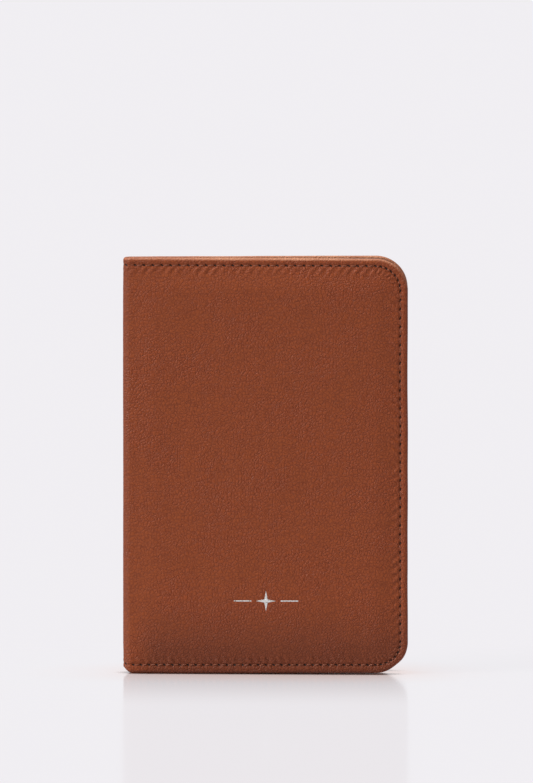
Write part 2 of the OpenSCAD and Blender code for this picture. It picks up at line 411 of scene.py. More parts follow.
def smoothCalf():
    # Smooth, lightly finished calf for the pockets: fine pores, soft sheen, cut edges sealed with dark paint
    material, add = blankMaterial("smoothFinishedCalf")
    flat = add("UVMap", uv_map="hide")
    # real pores are 0.1 mm across, too fine to show
    pores = add("TexVoronoi", {"Vector": flat, "Scale": 1 / (0.55 * mm)}, voronoi_dimensions="2D")
    pits = add("MapRange",
               {"Value": pores, "From Min": 0.05, "From Max": 0.35}, interpolation_type="SMOOTHSTEP")
    creases = add("TexNoise",
                  {"Vector": flat, "Scale": 1 / (3.5 * mm), "Detail": 5.0, "Roughness": 0.62},
                  noise_dimensions="2D")
    patches = add("TexNoise",
                  {"Vector": flat, "Scale": 1 / (22 * mm), "Detail": 3.0}, noise_dimensions="2D")
    height = add("Math", {0: creases, 1: 1.6, 2: pits}, operation="MULTIPLY_ADD")
    poreTone = add("Mix", {0: pits, 6: linear("#5a2b18"), 7: linear("#7a3f25")}, data_type="RGBA")
    patchShare = add("MapRange", {"Value": patches, "From Min": 0.3, "From Max": 0.7, "To Max": 0.6})
    uneven = add("Mix", {0: patchShare, 6: poreTone, 7: linear("#6c351e")}, data_type="RGBA")
    edge = add("Attribute", attribute_name="cutEdge")
    dyed = add("Mix", {0: edge.outputs["Fac"], 6: uneven, 7: linear("#35180d")}, data_type="RGBA")
    polish = add("MapRange",
                 {"Value": creases, "From Min": 0.3, "From Max": 0.7, "To Min": 0.42, "To Max": 0.54})
    look = {"Base Color": dyed, "Roughness": polish, "IOR": 1.46}
    return finishMaterial(material, add, height, 0.05, look)


def twillLining():
    # Woven polyester twill: fine diagonal ribs with a weak sheen
    # real ribs are 0.3 mm apart, and these are twice that, so that they show
    material, add = blankMaterial("wovenPolyesterTwill")
    flat = add("UVMap", uv_map="hide")
    turned = add("Mapping", {"Vector": flat, "Rotation": (0, 0, math.radians(63))})
    ribs = add("TexWave",
               {"Vector": turned, "Scale": 1 / (20 * 0.6 * mm) * 2 * math.pi, "Distortion": 0.5,
                "Detail": 1.0}, wave_type="BANDS", bands_direction="X")
    picks = add("TexWave",
                {"Vector": flat, "Scale": 1 / (20 * 0.35 * mm) * 2 * math.pi, "Distortion": 0.3},
                wave_type="BANDS", bands_direction="Y")
    slubs = add("TexNoise", {"Vector": flat, "Scale": 1 / (1.8 * mm), "Detail": 3.0}, noise_dimensions="2D")
    weave = add("Math",
                {0: picks.outputs["Fac"], 1: 0.35, 2: ribs.outputs["Fac"]}, operation="MULTIPLY_ADD")
    shade = add("Math", {0: weave, 1: slubs}, operation="MULTIPLY")
    dyed = add("Mix", {0: shade, 6: linear("#2a1d17"), 7: linear("#5a4436")}, data_type="RGBA")
    polish = add("MapRange", {"Value": shade, "To Min": 0.78, "To Max": 0.6})
    look = {"Base Color": dyed, "Roughness": polish, "Sheen Weight": 0.25, "Sheen Roughness": 0.4}
    return finishMaterial(material, add, weave, 0.06, look)


def waxedThread():
    # Waxed, bonded polyester thread: two plies twisted together, tan, with a soft shine on each ply
    material, add = blankMaterial("waxedPolyesterThread")
    along = add("Attribute", attribute_name="alongThread")
    around = add("Attribute", attribute_name="aroundThread")
    tone = add("Attribute", attribute_name="tone")
    twist = add("Math",
                {0: along.outputs["Fac"], 1: 3.0, 2: around.outputs["Fac"]}, operation="MULTIPLY_ADD")
    turns = add("Math", {0: twist, 1: 4 * math.pi}, operation="MULTIPLY")
    wave = add("Math", {0: turns}, operation="SINE")
    plies = add("MapRange", {"Value": wave, "From Min": -1.0, "From Max": 1.0})
    plyTone = add("Mix", {0: plies, 6: linear("#5c2a13"), 7: linear("#8a4a2a")}, data_type="RGBA")
    dyed = add("Mix", {0: tone.outputs["Fac"], 6: plyTone, 7: linear("#73381f")}, data_type="RGBA")
    polish = add("MapRange", {"Value": plies, "To Min": 0.62, "To Max": 0.44})
    return finishMaterial(material, add, plies, 0.05, {"Base Color": dyed, "Roughness": polish, "IOR": 1.5})


def silverFoil():
    # Hot-stamped silver foil: metallic and soft-bright, with the hide's pores showing as duller flecks
    material, add = blankMaterial("hotStampedSilverFoil")
    place = add("TexCoord")
    pores = add("TexNoise", {"Vector": place.outputs["Object"], "Scale": 1 / (0.45 * mm), "Detail": 3.0})
    flecks = add("MapRange",
                 {"Value": pores, "From Min": 0.34, "From Max": 0.5}, interpolation_type="SMOOTHSTEP")
    tint = add("Mix", {0: flecks, 6: linear("#9a9187"), 7: linear("#dcdcda")}, data_type="RGBA")
    polish = add("MapRange", {"Value": flecks, "To Min": 0.6, "To Max": 0.38})
    look = {"Base Color": tint, "Roughness": polish, "Metallic": 0.85}
    return finishMaterial(material, add, pores, 0.03, look)


def fibreBoard():
    # Bonded leather board: pressed leather fibres, matt, with paler and darker strands
    material, add = blankMaterial("bondedLeatherBoard")
    place = add("TexCoord")
    stretched = add("Mapping", {"Vector": place.outputs["Object"], "Scale": (0.4, 1, 1)})
    strands = add("TexNoise",
                  {"Vector": stretched, "Scale": 1 / (1.2 * mm), "Detail": 4.0, "Roughness": 0.7})
    dyed = add("Mix", {0: strands, 6: linear("#5d4735"), 7: linear("#a58f76")}, data_type="RGBA")
    look = {"Base Color": dyed, "Roughness": 0.85}
    return finishMaterial(material, add, strands, 0.08, look)


hideMaterial = pebbledHide()
calfMaterial = smoothCalf()
twillMaterial = twillLining()
threadMaterial = waxedThread()
foilMaterial = silverFoil()
boardMaterial = fibreBoard()

# stitches from the middle of the spine to a corner, round it, and up the free edge
seam = {
    "upper": 29,               # longer stitches above than below
    "lower": 33,
    "corner": 7,
    "up": 39,
    "perStitch": 6,            # mesh columns to one stitch
    "groove": 0.21,
    "grooveWidth": 0.5,
    "dent": 0.22,              # how much deeper the groove is at a needle hole
    "pucker": 0.22,            # height of the small folds that the stitches draw up
    "puckerPlace": 1.7,        # inside the seam
    "puckerWidth": 1.3,
    "puckerSlant": 0.22,       # in stitches for each millimetre from the seam
    "holeReach": 0.45,
    "holeLean": 0.4,           # slant of the holes on the upper edge, and the other way on the lower one
}
pitches = {
    "upper": (freeEdge - hide["cornerRadius"]) / seam["upper"],
    "lower": (freeEdge - hide["cornerRadius"]) / seam["lower"],
    "corner": (hide["cornerRadius"] - hide["seamInset"]) * math.pi / 2 / seam["corner"],
    "up": (coverHeight - 2 * hide["cornerRadius"]) / seam["up"],
}


def seamPlace(u, z):
    # how far a point lies inside the seam, how many stitches past the start of the corner, and their pitch
    corner = hide["cornerRadius"]
    fromMiddle = np.abs(z - coverHeight / 2)
    pastU = u - (freeEdge - corner)
    pastZ = fromMiddle - (coverHeight / 2 - corner)
    inCorner = (pastU > 0) & (pastZ > 0)
    toSides = np.minimum(freeEdge - u, coverHeight / 2 - fromMiddle)
    toEdge = np.where(inCorner, corner - np.hypot(pastU, pastZ), toSides)
    turned = np.arctan2(np.maximum(pastU, 0), np.maximum(pastZ, 1e-9)) / (math.pi / 2)
    onUpright = ~inCorner & (freeEdge - u < coverHeight / 2 - fromMiddle)
    level = np.where(z > coverHeight / 2, pitches["upper"], pitches["lower"])
    pitch = np.where(inCorner, pitches["corner"], np.where(onUpright, pitches["up"], level))
    count = np.where(onUpright, seam["corner"] - pastZ / pitches["up"], pastU / level)
    return toEdge - hide["seamInset"], np.where(inCorner, turned * seam["corner"], count), pitch


def nearHoles(count, pitch):
    return ridge(np.abs(count - np.round(count)) * pitch, 0, seam["holeReach"])


def seamHoles():
    # every needle hole: from the spine over the upper corner, down the free edge, back along the lower edge
    corner, inset = hide["cornerRadius"], hide["seamInset"]
    reach = corner - inset
    turns = [math.pi / 2 * k / seam["corner"] for k in range(seam["corner"])]
    upper = [(k * pitches["upper"], coverHeight - inset) for k in range(seam["upper"])]
    upper += [(freeEdge - corner + reach * math.sin(a), coverHeight - corner + reach * math.cos(a))
              for a in turns]
    upright = [(freeEdge - inset, coverHeight - corner - k * pitches["up"]) for k in range(seam["up"] + 1)]
    lower = [(freeEdge - corner + reach * math.sin(a), corner - reach * math.cos(a))
             for a in reversed(turns)]
    lower += [(k * pitches["lower"], inset) for k in reversed(range(seam["lower"]))]
    return upper + upright + lower


def outlineAt(shape, inset):
    # every ring has the same number of points: runs and quarter turns, anticlockwise from the lower left
    left, right, low, high = shape["box"]
    across, corner, up = shape["columns"]
    lowerLeft, lowerRight, upperRight, upperLeft = shape["radii"]

    def quarter(x, z, towardX, towardZ, radius, start):
        turns = np.radians(np.linspace(start, start + 90, corner + 1))
        reach, moved = max(radius - inset, 0), max(radius, inset)
        return np.stack([x + towardX * moved + reach * np.cos(turns),
                         z + towardZ * moved + reach * np.sin(turns)], -1)

    def run(start, end, count):
        return start + (end - start) * np.linspace(0, 1, count + 1)[1:-1, None]

    lowerR = quarter(right, low, -1, 1, lowerRight, -90)
    upperR = quarter(right, high, -1, -1, upperRight, 0)
    if shape["openLeft"]:
        lowerL, upperL = np.array([[left, low + inset]]), np.array([[left, high - inset]])
    else:
        lowerL = quarter(left, low, 1, 1, lowerLeft, 180)
        upperL = quarter(left, high, 1, -1, upperLeft, 90)
    pieces = [lowerL, run(lowerL[-1], lowerR[0], across), lowerR, run(lowerR[-1], upperR[0], up), upperR,
              run(upperR[-1], upperL[0], across), upperL]
    if not shape["openLeft"]:
        pieces.append(run(upperL[-1], lowerL[0], up))
    return np.concatenate(pieces)


def shell(name, side, shape, rings, relief, material, sharpAngle=60):
    # rings are (inset, unrolled inset, depth, shown share) from the hidden side round the edge to the shown
    # side, which a grid closes; relief gives each point its final place and what the material reads
    across, corner, up = shape["columns"]
    left, right, low, high = shape["box"]
    count = len(outlineAt(shape, 0))
    closed = not shape["openLeft"]
    place, flat, more, faces = [], [], [], []
    for layer, (inset, unrolled, depth, shown) in enumerate(rings):
        place.append(np.column_stack([outlineAt(shape, inset), np.full(count, layer)]))
        flat.append(outlineAt(shape, unrolled))
        more.append(np.tile([inset, depth, shown], (count, 1)))
        if layer:
            for i in range(count if closed else count - 1):
                j = (i + 1) % count
                under, over = (layer - 1) * count, layer * count
                faces.append((under + i, under + j, over + j, over + i))
    inset, unrolled, depth, shown = rings[-1]
    innerX = np.linspace(left if shape["openLeft"] else left + inset, right - inset, across + 1)
    innerZ = np.linspace(low + inset, high - inset, up + 1)
    gridX, gridZ = (a.ravel() for a in np.meshgrid(innerX, innerZ))
    base = len(rings) * count
    place.append(np.column_stack([gridX, gridZ, np.full(gridX.size, len(rings) - 1)]))
    flat.append(np.column_stack([gridX, gridZ]))
    edges = [right - gridX, gridZ - low, high - gridZ] + ([] if shape["openLeft"] else [gridX - left])
    more.append(np.column_stack([np.min(edges, axis=0), np.tile([depth, shown], (gridX.size, 1))]))
    for j in range(up):
        for i in range(across):
            k = base + j * (across + 1) + i
            faces.append((k, k + 1, k + across + 2, k + across + 1))
    first = 0 if shape["openLeft"] else corner
    lowRun = list(range(first, first + across + 1))
    highStart = first + across + 2 * corner + up
    highRun = list(range(highStart + across, highStart - 1, -1))
    for i in range(across):
        faces.append((lowRun[i], highRun[i], highRun[i + 1], lowRun[i + 1]))
    faces.append(list(range(lowRun[-1], highRun[-1] + 1)))
    if closed:
        faces.append(list(range(highRun[0], count)) + list(range(lowRun[0] + 1)))

    place, flat, more = (np.concatenate(a) for a in (place, flat, more))
    _, chosen, index = np.unique(np.round(place * 1e4), axis=0, return_index=True, return_inverse=True)
    index = index.reshape(-1)
    inset, depth, shown = more[chosen].T
    u, z, depth, marks = relief(place[chosen, 0], place[chosen, 1], inset, depth, shown)
    kept = []
    for face in faces:
        corners = [index[face[0]]]
        for i in face[1:]:
            if index[i] != corners[-1]:
                corners.append(index[i])
        if corners[0] == corners[-1]:
            corners.pop()
        if len(corners) > 2:
            kept.append(corners)
    mesh = bpy.data.meshes.new(name)
    mesh.from_pydata(wrap(side, u, z, depth).tolist(), [], kept)
    for label, values in marks.items():
        mesh.attributes.new(label, "FLOAT", "POINT").data.foreach_set("value", values.astype(np.float32))
    uv = mesh.uv_layers.new(name="hide")
    loops = np.zeros(len(mesh.loops), np.int32)
    mesh.loops.foreach_get("vertex_index", loops)
    spread = flat[chosen] * [side * -1, 1] * mm
    uv.data.foreach_set("uv", spread[loops].astype(np.float32).ravel())
    return finishPiece(name, mesh, material, sharpAngle)


print("outer hide")
coverShape = {
    "box": (0, freeEdge, 0, coverHeight),
    "radii": (0, hide["cornerRadius"], hide["cornerRadius"], 0),
    "columns": tuple(seam[run] * seam["perStitch"] for run in ("lower", "corner", "up")),
    "openLeft": True,
}
coverForm = {
    "crown": 0.42,             # how far the cover stands out inside its seam
    "bow": 0.8,                # a wide, slight bow from the spine to the free edge
    "handled": 0.5,            # painted shade, darkening towards the lower edge
    "spineTone": 0.3,          # darkening along the spine's round
    "underShade": 0.35,            # painted shade underneath
    "slack": 0.13,
    "grain": 0.02,
    "edgeWave": 0.12,
    "spineLift": 1.6,          # how far the lower end of the spine is drawn up
    "spineRound": 2.5,
    "freeRise": 0.35,          # how far the lower edge lifts towards its free end
    "seamRise": 0.45,          # the lower seam runs a little further from its edge than the upper one
}
stampLow, stampHigh = (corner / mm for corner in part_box("foil_stamp"))
stamp = {
    "u": alongHide(coverWidth / 2),
    "z": (stampLow.z + stampHigh.z) / 2,
    "tip": (stampHigh.z - stampLow.z) / 2,    # from the middle of the star to a point
    "waist": (stampHigh.z - stampLow.z) / 9,
    "gap": 1.5,                # from the star to a rule
    "rule": 6.0,
    "ruleWidth": 0.4,
    "pressed": 0.07,           # how far the die pushes the hide in
    "foil": 0.03,
}


def fromSpineSide(u):
    # how far a point of the cover lies to the right of the spine's outermost line
    bend = np.clip((u - spineFlat) / hide["foldRadius"], 0, turn)
    return hide["foldRadius"] * (1 - np.cos(bend)) + np.maximum(u - coverStart, 0)


def edgeShift(u, z):
    # the outline's slight waves, and the lower end of the spine drawn up by its turned edge
    form = coverForm
    wave = form["edgeWave"]
    u = u + wave * ripple(z * 0 + 3.1, z, 17, 4.2) * (1 - smooth(0, 16, freeEdge - u))
    z = z - wave * 0.6 * np.abs(ripple(u, z * 0, 21, 7.7)) * smooth(coverHeight - 12, coverHeight, z)
    radius = form["spineRound"]
    rise = radius - np.sqrt(np.maximum(radius ** 2 - np.clip(radius - fromSpineSide(u), 0, radius) ** 2, 0))
    rise = np.minimum(rise, form["spineLift"])
    z = z + rise * np.clip(1 - z / 9, 0, 1) ** 3 + form["seamRise"] * ridge(z, hide["seamInset"], 2.0)
    return u, z + form["freeRise"] * smooth(coverStart, freeEdge, u) * np.clip(1 - z / 60, 0, 1) ** 2


def stampAway(u, z):
    # millimetres outside the star or its rules
    x, y = np.abs(u - stamp["u"]), np.abs(z - stamp["z"])
    waist = stamp["waist"] / math.sqrt(2)
    edge = np.array([waist - stamp["tip"], waist])
    a, b = np.maximum(x, y) - stamp["tip"], np.minimum(x, y)
    share = np.clip((a * edge[0] + b * edge[1]) / (edge @ edge), 0, 1)
    outline = np.hypot(a - share * edge[0], b - share * edge[1])
    star = np.where(edge[0] * b - edge[1] * a > 0, -outline, outline)
    ruleX = np.abs(x - stamp["tip"] - stamp["gap"] - stamp["rule"] / 2) - stamp["rule"] / 2
    rule = np.hypot(np.maximum(ruleX, 0), np.maximum(y - stamp["ruleWidth"] / 2, 0))
    return np.minimum(star, rule)


def coverRelief(side):
    form = coverForm

    def relief(u, z, inset, depth, shown):
        _, count, pitch = seamPlace(u, z)
        fromSeam = inset - hide["seamInset"]
        nearHole = nearHoles(count, pitch)
        nearSeam = ridge(fromSeam, 0, seam["grooveWidth"])
        onCover = smooth(coverStart - 1, coverStart + 9, u)
        crown = form["crown"] * smooth(0.5, 9, fromSeam) * (0.25 + 0.75 * onCover)
        acrossCover = np.clip((u - coverStart) / (freeEdge - coverStart), 0, 1)
        bow = 4 * acrossCover * (1 - acrossCover) * smooth(1, 26, z) * smooth(0, 12, coverHeight - z)
        crown = crown + form["bow"] * bow
        groove = nearSeam * (seam["groove"] + seam["dent"] * nearHole) * (0.4 + 0.6 * smooth(1, 5, u))
        swell = 0.05 * ridge(fromSeam, -1.1, 0.6) * (1 - nearHole)
        pull = np.sin(2 * math.pi * (count + seam["puckerSlant"] * fromSeam))
        pull = pull * ridge(fromSeam, seam["puckerPlace"], seam["puckerWidth"])
        pucker = seam["pucker"] * pull * (0.35 + 0.65 * np.abs(ripple(u, z, 9, 1.3 + side)))
        slack = form["slack"] * (ripple(side * u, z, 33, 2.4) + 0.4 * ripple(side * u, z, 12, 8.8))
        slack = slack * smooth(1, 10, fromSeam) * (0.2 + 0.8 * onCover)
        fine = form["grain"] * (ripple(side * u, z, 2.6, 5.5) + 0.8 * ripple(side * u, z, 1.35, 9.1))
        pressed = smooth(0.6, 0.1, stampAway(u, z)) * shown if side == -1 else u * 0
        raised = crown + swell + pucker + slack + fine * (1 - pressed)
        outward = shown * (raised - groove - stamp["pressed"] * pressed)
        inner = (1 - shown) * (groove * 0.5 + 0.5 * fine) * (depth > hide["thickness"] + 0.01)
        u, z = edgeShift(u, z)
        corner = hide["cornerRadius"]
        radius = np.maximum(corner - inset, 1)
        paintedTopLight = 0.5 + 0.5 * smooth(4, 45, u)           # the painted top light on the upper edge fades towards the spine
        turnedDown = (corner - z) / radius
        onSide = smooth(2.2, 0.8, fromSpineSide(u))
        marks = {
            "stitchCount": count, "stitchPitch": pitch, "fromSeam": fromSeam, "pressed": pressed,
            "holeLean": seam["holeLean"] * (1 - z / (coverHeight / 2)),
            "rolled": smooth(0.8 + 0.7 * (1 - shown), 0.3 + 0.5 * (1 - shown), inset),
            "turnedUp": np.clip((z - coverHeight + corner) / radius, 0, 1) * paintedTopLight,
            "underneath": form["underShade"] * smooth(0.85, 0.5, inset) * smooth(0.6, 0.95, turnedDown),
            "foot": form["handled"] * smooth(28, 2, z) * onCover + form["spineTone"] * onSide,
        }
        return u, z, depth - outward - inner, marks

    return relief


def coverRings():
    # floor of the recess, cut edge of the turned leather, its face, round the edge, and the outer face
    half = hemDepth / 2
    unrolledEdge = half - math.pi * half
    inner = [(i, unrolledEdge - (i - half), hemDepth, 0)
             for i in (7.9, 7.0, 5.6, 4.4, 3.5, 2.9, 2.5, 2.1, 1.5)]
    first = hide["turnedWidth"]
    rings = [(first, unrolledEdge - first, hide["thickness"], 0),
             (first, unrolledEdge - first + half, hide["thickness"] + 0.55, 0)] + inner
    for k in range(9):
        angle = math.pi * k / 8
        rings.append((half * (1 - math.sin(angle)), unrolledEdge + half * angle,
                      half * (1 + math.cos(angle)), smooth(0.3, 1, k / 8)))
    for inset in (1.25, 1.6, 1.9, 2.15, 2.35, 2.5, 2.65, 2.85, 3.1, 3.4, 3.75, 4.1, 4.5, 4.95,
                  5.4, 5.9, 6.4, 6.9, 7.4, 7.9, 8.4, 8.9, 9.4, 9.9, 10.45, 11.0):
        rings.append((inset, inset, 0, 1))
    return rings


# where a piece that crosses a crease starts and ends its bend
bendEnds = {side: wrap(side, [spineFlat * 0.2, coverStart + 1.0], 0, hide["thickness"] / 2)
            for side in (-1, 1)}
coverBody = {-1: "front_cover", 1: "back_cover"}
coverName = {-1: "front", 1: "back"}


def crossCrease(piece):
    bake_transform(piece)


for side, hidden in ((-1, ("front_leather", "spine_leather")), (1, ("back_leather",))):
    leather = shell(coverName[side] + "Hide", side, coverShape, coverRings(), coverRelief(side), hideMaterial)
    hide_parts(*hidden)
    crossCrease(leather)

print("foil stamp")


def foilPatch(outline, vertices, faces):
    # a thin closed patch: rings from the middle of its shown face to its edge and back underneath
    centre = outline.mean(0)
    rings = [(share, 1) for share in (0.1, 0.4, 0.7, 0.9, 0.97)] + [(1.0, 0.5), (1.0, -1), (0.5, -1)]
    first, count = len(vertices), len(outline)
    for share, lifted in rings:
        u, z = (centre + (outline - centre) * share).T
        u, z, depth, marks = coverRelief(-1)(u, z, u * 0 + stamp["z"], u * 0, u * 0 + 1)
        vertices.extend(wrap(-1, u, z, depth - lifted * stamp["foil"]).tolist())
    for ring in range(len(rings) - 1):
        for i in range(count):
            a, b = first + ring * count + i, first + ring * count + (i + 1) % count
            faces.append((a, b, b + count, a + count))
    faces.append([first + i for i in range(count)])
    faces.append([first + (len(rings) - 1) * count + i for i in range(count)])


def cutOutline(corners, steps):
    corners = np.array(corners)
    runs = zip(corners, np.roll(corners, -1, 0))
    return np.concatenate([a + (b - a) * np.linspace(0, 1, steps + 1)[:-1, None] for a, b in runs])


stampMiddle = np.array([stamp["u"], stamp["z"]])
reaches = [stamp["tip"] if k % 2 == 0 else stamp["waist"] for k in range(8)]
starPoints = [stampMiddle + reach * np.array([math.cos(k * math.pi / 4), math.sin(k * math.pi / 4)])
              for k, reach in enumerate(reaches)]
foilVertices, foilFaces = [], []
foilPatch(cutOutline(starPoints, 8), foilVertices, foilFaces)
for toSide in (-1, 1):
    ruleMiddle = stampMiddle + [toSide * (stamp["tip"] + stamp["gap"] + stamp["rule"] / 2), 0]
    halfRule = np.array([stamp["rule"], stamp["ruleWidth"]]) / 2
    foilPatch(cutOutline([ruleMiddle + halfRule * k for k in ((-1, -1), (1, -1), (1, 1), (-1, 1))], 10),
              foilVertices, foilFaces)
foilMesh = bpy.data.meshes.new("foilStamp")
foilMesh.from_pydata(foilVertices, [], foilFaces)
foilStamp = finishPiece("foilStamp", foilMesh, foilMaterial, 50)
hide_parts("foil_stamp")
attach(foilStamp, "front_cover")

print("linings and boards")
lining = {
    "inset": hide["turnedWidth"] + 0.1,
    "boardStart": 3.0,         # from the crease
    "slack": 0.025,
    "columns": (190, 6, 120),
    "bagThickness": 0.15,
    "bagInset": 1.5,           # of a card bag from its panel's sides
    "bagDepth": 56.0,          # from a card panel's top edge to the bottom of its bag
}


def liningRelief(side, boardUnder):
    def relief(u, z, inset, depth, shown):
        board = hide["boardThickness"] * smooth(alongHide(lining["boardStart"] - 0.5),
                                                alongHide(lining["boardStart"] + 0.3), u)
        slack = lining["slack"] * np.abs(ripple(side * u, z, 7, 3.3) + 0.5 * ripple(side * u, z, 2.3, 6.1))
        return *edgeShift(u, z), depth + board * boardUnder + slack, {}

    return relief


def clothRings(depth, thickness, reach):
    edge = [(reach, depth, 0), (0.3, depth, 0),
            (0, depth + thickness * 0.3, 0), (0, depth + thickness * 0.7, 1)]
    shownInsets = [0.2] + list(np.linspace(0.5, reach, max(2, round(reach / 0.6))))
    return [(i, i, d, s) for i, d, s in edge] + [(i, i, depth + thickness, 1) for i in shownInsets]


inset = lining["inset"]
liningShape = {
    "box": (0, freeEdge - inset, inset, coverHeight - inset),
    "radii": (0, hide["cornerRadius"] - inset, hide["cornerRadius"] - inset, 0),
    "columns": lining["columns"],
    "openLeft": True,
}
for side, hidden in ((-1, ("front_lining", "spine_lining")), (1, ("back_lining",))):
    rings = clothRings(hide["thickness"], hide["liningThickness"], hide["cornerRadius"] - inset)
    cloth = shell(coverName[side] + "Lining", side, liningShape, rings, liningRelief(side, 1), twillMaterial)
    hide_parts(*hidden)
    crossCrease(cloth)

for node in ("front_stiffener", "back_stiffener"):
    board = frame["nodes"][node]
    board.data.materials.clear()
    board.data.materials.append(boardMaterial)

print("passport sleeves and card panels")
pocket = {
    "arris": 0.16,             # rounding of a cut edge
    "toolLine": 1.6,           # pressed line inside an open edge
    "lineDepth": 0.09,
    "seamDent": 0.1,
    "holeDent": 0.12,
    "slack": 0.022,
    "smallCorner": 0.6,
    "column": 0.62,            # width of a mesh column
    "cardSeam": 8.2,           # from the crease to the upright seam that closes the card slots
}
cardSeamU = alongHide(pocket["cardSeam"])
cardLevels = ("upper", "middle", "lower")


def startOf(node, depth):
    # where a ply starts, from the crease
    inward = (depth - hide["thickness"] / 2) * math.sin(restAngle)
    return (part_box(node)[0].x / mm - creaseX - inward) / math.cos(restAngle)


def cardBack(level):
    return sleeveDepth + hide["plyGap"] + level * (hide["cardThickness"] + hide["plyGap"])


cardSpan = [[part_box("card_panel_" + level)[end].z / mm for end in (0, 1)] for level in cardLevels]
sleeveStart = {-1: startOf("front_sleeve", hemDepth), 1: startOf("back_sleeve", hemDepth)}
cardStart = startOf("card_panel_upper", cardBack(0))


def plyRings(back, thickness, reach):
    # hidden face, cut edge with its two arrises, and shown face
    arris, face = pocket["arris"], back + thickness
    edge = [(reach, back, 0), (1.2, back, 0), (arris, back, 0), (arris * 0.3, back + arris * 0.3, 0),
            (0, back + arris, 0), (0, back + thickness / 2, 0.5), (0, face - arris, 1),
            (arris * 0.3, face - arris * 0.3, 1), (arris, face, 1)]
    insets = [0.4, 0.7, 1.0, 1.25, 1.45, 1.6, 1.75, 1.95, 2.2, 2.5, 2.8]
    insets += list(np.linspace(3.2, reach, max(1, round((reach - 3.2) / 0.6) + 1)))
    return [(i, i, d, s) for i, d, s in edge] + [(i, i, face, 1) for i in insets]


def pocketRelief(side, box, opensUp, cardSeam):
    left, right, low, high = box

    def relief(u, z, inset, depth, shown):
        fromSeam, count, pitch = seamPlace(u, z)
        nearHole = nearHoles(count, pitch)
        sunk = ridge(fromSeam, 0, 0.45) * (pocket["seamDent"] + pocket["holeDent"] * nearHole)
        if cardSeam:
            below = smooth(cardSpan[0][1] + 1, cardSpan[0][1] - 1, z)
            sunk = sunk + pocket["seamDent"] * ridge(u, cardSeamU, 0.45) * below
        fromOpen = high - z if opensUp else u - left
        line = pocket["lineDepth"] * ridge(fromOpen, pocket["toolLine"], 0.2)
        slack = pocket["slack"] * (ripple(side * u, z, 19, 4.4) + 0.5 * ripple(side * u, z, 3.1, 2.2))
        marks = {"cutEdge": smooth(pocket["arris"] * 1.5, 0, inset)}
        return *edgeShift(u, z), depth + shown * (slack - line - sunk), marks

    return relief


def cutPocket(name, side, fromCrease, low, high, back, thickness, rounded, opensUp, cardSeam):
    # rounded says which of the free edge's corners follow the cover's
    setback, small = hide["sleeveSetback"], pocket["smallCorner"]
    large = hide["cornerRadius"] - setback
    box = (alongHide(fromCrease), freeEdge - setback, low, high)
    radii = (small, large if "lower" in rounded else small, large if "upper" in rounded else small, small)
    across, up = (round(length / pocket["column"]) for length in (box[1] - box[0], high - low))
    columns = (across, 14 if rounded else 3, up)
    shape = {"box": box, "radii": radii, "columns": columns, "openLeft": False}
    rings = plyRings(back, thickness, large if rounded else 3.2)
    return shell(name, side, shape, rings, pocketRelief(side, box, opensUp, cardSeam), calfMaterial, 50)


setback = hide["sleeveSetback"]
for side in (-1, 1):
    sleeve = cutPocket(coverName[side] + "Sleeve", side, sleeveStart[side], setback, coverHeight - setback,
                       hemDepth, hide["sleeveThickness"], ("lower", "upper"), False, side == -1)
    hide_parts(coverName[side] + "_sleeve")
    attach(sleeve, coverBody[side])

for level, levelName in enumerate(cardLevels):
    low, high = cardSpan[level]
    panelName = "cardPanel" + levelName.capitalize()
    panel = cutPocket(panelName, -1, cardStart, low, high, cardBack(level), hide["cardThickness"],
                      ("lower",) if levelName == "lower" else (), True, True)
    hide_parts("card_panel_" + levelName)
    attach(panel, "front_cover")
    if levelName == "lower":
        continue
    bottom = high - lining["bagDepth"]
    bagBox = (alongHide(cardStart + lining["bagInset"]),
              freeEdge - hide["seamInset"] - lining["bagInset"], bottom, low)
    bagColumns = tuple(round((b - a) / 0.9) for a, b in (bagBox[:2], bagBox[2:]))
    bagShape = {"box": bagBox, "radii": (0.3,) * 4, "columns": (bagColumns[0], 2, bagColumns[1]),
                "openLeft": False}
    bagBack = cardBack(level) + (hide["cardThickness"] - lining["bagThickness"]) / 2
    bagRings = clothRings(bagBack, lining["bagThickness"], 2.0)
    bag = shell("cardBag" + levelName.capitalize(), -1, bagShape, bagRings, liningRelief(-1, 0),
                twillMaterial)
    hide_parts("card_bag_" + levelName)
    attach(bag, "front_cover")

print("stitches")
thread = {
    "diameter": 0.44,
    "length": 2.6,             # one stitch, before it is fitted between its holes
    "gap": 0.75,               # left open at the needle holes
    "slant": 7.0,              # degrees
    "dive": 0.28,              # how far its ends go into the holes
    "arch": 0.5,
    "sides": 6,
    "rings": 6,
    "cardPitch": 2.8,
}


